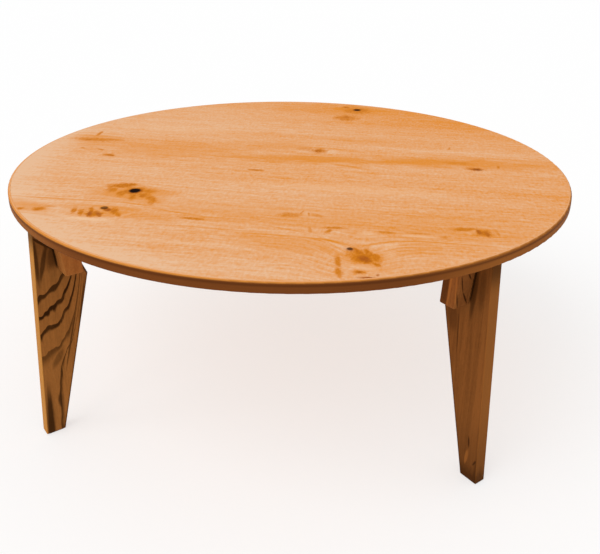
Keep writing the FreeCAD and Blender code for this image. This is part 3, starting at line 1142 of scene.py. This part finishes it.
def block_wood(name, leg, node, colours, seed):
    """Brown wood with its grain upright. The figured block has marks round its two outer faces."""
    graph = Graph("block_wood_" + name, seed)
    place = leg.coordinates(graph)
    fibre = graph.noise(block_fibre, *place)
    streak = graph.noise(block_streak, *place)
    speckle = graph.noise(brown_speckle, *place)
    tone = block_tone + streak * block_streak_tone + fibre * block_fibre_tone + speckle * block_speckle_tone
    wood = graph.mix(tone, *colours)
    if name == figured_block:
        inner, outer, near, far, bottom, top = leg.extent(node)
        girth = (outer - inner) + (far - near)
        reach, side, height = place
        round_faces = reach + side - inner - near
        scales = (top - bottom, girth)
        ragged = fibre * block_ragged
        up = height - bottom
        marks = marked(graph, up, round_faces, scales, block_dark_marks, ragged, crisp_fade_shares)
        streaks = marked(graph, up, round_faces, scales, block_light_marks, ragged, crisp_fade_shares)
        wood = graph.mix(marks, wood, block_mark_colour)
        wood = graph.mix(streaks, wood, block_streak_colour)
    graph.mirror(brown_gloss)
    return graph.finish(wood, wood_roughness + fibre * fibre_roughness, fibre * plank_fibre_relief)


def dowel_wood():
    """Pale beech with short dark flecks along Z."""
    graph = Graph("dowel_beech", dowel_seed)
    place = graph.place()
    fibre = graph.noise(beech_fibre, *place)
    flecks = graph.smooth(graph.noise(beech_flecks, *place), *fleck_range)
    wood = graph.mix(middle_tone + fibre * beech_fibre_tone, beech_pale, beech_brown)
    wood = graph.mix(flecks * fleck_strength, wood, beech_fleck)
    return graph.finish(wood, beech_roughness, fibre * plank_fibre_relief)


# Metal, plastic and felt


def steel(name, seed, tint):
    """Bright steel with fine marks and faint stains."""
    graph = Graph(name, seed)
    place = graph.place()
    marks = graph.noise(steel_marks, *place)
    stain = graph.noise(steel_stains, *place)
    metal = graph.mix(steel_tone + stain * stain_tone, tint, stain_colour)
    graph.shader.inputs["Metallic"].default_value = 1.0
    return graph.finish(metal, steel_roughness + marks * mark_roughness, marks * smooth_relief)


def bush_plastic():
    """Off-white nylon with a faint cloudiness."""
    graph = Graph("bush_nylon", bush_seed)
    cloud = graph.noise(nylon_clouds, *graph.place())
    plastic = graph.mix(middle_tone + cloud * cloud_tone, nylon_pale, nylon_dark)
    return graph.finish(plastic, nylon_roughness + cloud * cloud_roughness, cloud * smooth_relief)


def felt():
    """Dark brown pressed felt, as tangled fibres."""
    graph = Graph("pressed_felt", felt_seed)
    place = graph.place()
    tangle = graph.noise(felt_tangle, *place)
    patches = graph.noise(felt_patches, *place)
    wool = graph.mix(middle_tone + tangle * tangle_tone + patches * patch_tone, felt_pale, felt_dark)
    graph.shader.inputs["Sheen Weight"].default_value = felt_sheen
    return graph.finish(wool, felt_roughness, tangle * felt_relief)


# Felt pieces


def superellipse(angle, half_length, half_width, power):
    """How far from its middle a superellipse lies in one direction."""
    along = abs(math.cos(angle)) / half_length
    across = abs(math.sin(angle)) / half_width
    return (along ** power + across ** power) ** (-1 / power)


def felt_solid(name, leg, extent, power, material, seed):
    """A closed piece of felt in a node's place. Its upper face sits flat against the wood, its lower rim is
    rounded, its sides fray and its lower face is dented."""
    inner, outer, near, far, low, high = extent
    middle = leg.outward * (inner + outer) / 2 + leg.sideways * (near + far) / 2
    source = random.Random(seed)
    built = bmesh.new()

    def ring(inset, share, height, fray, dent):
        made = []
        for number in range(felt_points_round):
            angle = 2 * math.pi * number / felt_points_round
            reach = superellipse(angle, (outer - inner) / 2, (far - near) / 2, power)
            reach = (reach - inset - source.uniform(0, fray)) * share
            place = middle + leg.outward * reach * math.cos(angle) + leg.sideways * reach * math.sin(angle)
            place.z = height + source.uniform(0, dent)
            made.append(built.verts.new(place))
        return made

    rings = [ring(felt_rim_radius, share, low, 0, felt_dent) for share in felt_face_shares]
    for step in range(felt_rim_steps + 1):
        angle = math.pi / 2 * step / felt_rim_steps
        inset = felt_rim_radius * (1 - math.sin(angle))
        height = low + felt_rim_radius * (1 - math.cos(angle))
        rings.append(ring(inset, 1, height, felt_fray, 0))
    rings.append(ring(0, 1, (low + felt_rim_radius + high) / 2, felt_fray, 0))
    rings.append(ring(0, 1, high, felt_fray, 0))
    rings += [ring(0, share, high, 0, 0) for share in reversed(felt_face_shares)]
    for lower, upper in zip(rings, rings[1:]):
        for number in range(felt_points_round):
            following = (number + 1) % felt_points_round
            built.faces.new((lower[number], lower[following], upper[following], upper[number]))
    for rim, height in ((rings[0], low), (rings[-1], high)):
        tip = built.verts.new((middle.x, middle.y, height))
        for number in range(felt_points_round):
            following = (number + 1) % felt_points_round
            built.faces.new((rim[number], rim[following], tip))
    bmesh.ops.recalc_face_normals(built, faces=built.faces)
    mesh = bpy.data.meshes.new(name)
    built.to_mesh(mesh)
    built.free()
    mesh.materials.append(material)
    mesh.shade_smooth()
    piece = bpy.data.objects.new(name, mesh)
    bpy.context.scene.collection.objects.link(piece)
    return piece


def felt_pieces(nodes, name, leg, material, seed):
    """The pad under one foot and the bumper on which that leg lies when it is folded."""
    pad_extent = leg.extent(nodes["foot_pad_" + name])
    pad = felt_solid("felt_pad_" + name, leg, pad_extent, pad_power, material, seed)
    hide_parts("foot_pad_" + name)
    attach(pad, "leg_assembly_" + name)
    bumper_extent = leg.extent(nodes["fold_bumper_" + name])
    bumper = felt_solid("felt_bumper_" + name, leg, bumper_extent, disc_power, material, seed + 1)
    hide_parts("fold_bumper_" + name)
    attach(bumper, "table_top")


# Stage


def plain_floor():
    """A wide, pale, matt floor under the table."""
    half = floor_size / 2
    mesh = bpy.data.meshes.new("floor")
    corners = [(-half, -half, 0), (half, -half, 0), (half, half, 0), (-half, half, 0)]
    mesh.from_pydata(corners, [], [(0, 1, 2, 3)])
    floor = bpy.data.objects.new("floor", mesh)
    bpy.context.scene.collection.objects.link(floor)
    material = bpy.data.materials.new("pale_floor")
    material.use_nodes = True
    shader = material.node_tree.nodes["Principled BSDF"]
    shader.inputs["Base Color"].default_value = (floor_shade, floor_shade, floor_shade, 1.0)
    shader.inputs["Emission Color"].default_value = (1.0, 1.0, 1.0, 1.0)
    shader.inputs["Emission Strength"].default_value = floor_glow
    shader.inputs["Roughness"].default_value = floor_roughness
    shader.inputs["Specular IOR Level"].default_value = 0.0
    mesh.materials.append(material)
    return floor


def soft_light():
    """A white sky, brighter overhead, and a soft sun above, to the left and in front."""
    world = bpy.data.worlds.new("studio")
    bpy.context.scene.world = world
    world.use_nodes = True
    nodes = world.node_tree.nodes
    links = world.node_tree.links
    direction = nodes.new("ShaderNodeTexCoord")
    height = nodes.new("ShaderNodeSeparateXYZ")
    links.new(direction.outputs["Generated"], height.inputs[0])
    strength = nodes.new("ShaderNodeMapRange")
    links.new(height.outputs["Z"], strength.inputs["Value"])
    strength.inputs["To Min"].default_value = sky_at_horizon
    strength.inputs["To Max"].default_value = sky_overhead
    background = nodes["Background"]
    background.inputs["Color"].default_value = (1.0, 1.0, 1.0, 1.0)
    links.new(strength.outputs["Result"], background.inputs["Strength"])
    lamp = bpy.data.lights.new("sun", "SUN")
    lamp.energy = sun_strength
    lamp.angle = math.radians(sun_softness)
    sun = bpy.data.objects.new("sun", lamp)
    sun.rotation_mode = "QUATERNION"
    sun.rotation_quaternion = (-direction_at(sun_azimuth, sun_elevation)).to_track_quat("-Z", "Y")
    bpy.context.scene.collection.objects.link(sun)


def direction_at(azimuth, elevation):
    """The direction from the table to an azimuth, counted from its front to its right, and an elevation."""
    turn = math.radians(azimuth)
    rise = math.radians(elevation)
    return Vector((math.sin(turn) * math.cos(rise), -math.cos(turn) * math.cos(rise), math.sin(rise)))


def photo_camera(target):
    """The camera of the photograph: it stands off the table's front axis and looks down at the top's centre,
    which lies off the middle of the picture."""
    towards = direction_at(camera_azimuth, camera_elevation)
    forward = -towards
    right = forward.cross(Vector((0, 0, 1))).normalized()
    down = forward.cross(right)
    yaw = math.atan2(top_centre_column - principal_column, focal_length_pixels)
    pitch = math.atan2(top_centre_row - principal_row, focal_length_pixels)
    rows = Matrix((right, down, forward))
    aim = (Matrix.Rotation(math.radians(camera_roll), 3, "Z") @ Matrix.Rotation(yaw, 3, "Y")
           @ Matrix.Rotation(-pitch, 3, "X"))
    rows = aim @ rows
    turn = Matrix((rows[0], -rows[1], -rows[2])).transposed()
    data = bpy.data.cameras.new("photo_camera")
    data.sensor_width = sensor_width_mm
    data.lens = sensor_width_mm * focal_length_pixels / image_width
    data.shift_x = (image_width / 2 - principal_column) / image_width
    data.shift_y = (principal_row - image_height / 2) / image_width
    camera = bpy.data.objects.new("photo_camera", data)
    bpy.context.scene.collection.objects.link(camera)
    camera.matrix_world = Matrix.Translation(target + towards * camera_distance) @ turn.to_4x4()
    bpy.context.scene.camera = camera


def main():
    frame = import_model()
    nodes = frame["nodes"]
    lipping_low, lipping_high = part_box("top_edge_lipping")
    radius = (lipping_high.x - lipping_low.x) / 2
    top = lipping_high.z

    def dress(node, material):
        for slot in nodes[node].material_slots:
            slot.material = material

    dress("top_face_veneer", top_veneer(radius))
    dress("top_back_veneer", back_veneer())
    dress("top_core", core_board())
    dress("top_edge_lipping", lipping_wood(radius, top))
    pin = steel("pivot_pin_steel", pin_seed, pin_colour)
    screw = steel("screw_zinc", screw_seed, screw_colour)
    nylon = bush_plastic()
    beech = dowel_wood()
    wool = felt()
    for number, name in enumerate(leg_names):
        sides = (side_names[number], side_names[(number + 1) % len(side_names)])
        first_block = nodes["hinge_block_" + name + "_facing_" + sides[0]]
        leg = LegFrame(nodes["leg_" + name], first_block, first_leg_azimuth + number * leg_turn)
        dress("leg_" + name, leg_wood(name, leg, leg_figures[name]))
        dress("pivot_pin_" + name, pin)
        dress("pivot_bushes_" + name, nylon)
        dress("block_dowels_" + name, beech)
        dress("block_screws_" + name, screw)
        felt_pieces(nodes, name, leg, wool, felt_piece_seed + number * felt_pieces_per_leg)
        for side in sides:
            block = name + "_facing_" + side
            node = nodes["hinge_block_" + block]
            wood = block_wood(block, leg, node, block_colours[name], block_seed + number)
            dress("hinge_block_" + block, wood)
    plain_floor()
    soft_light()
    photo_camera(Vector((0, 0, top)))
    bpy.context.scene.view_settings.view_transform = "Standard"


main()
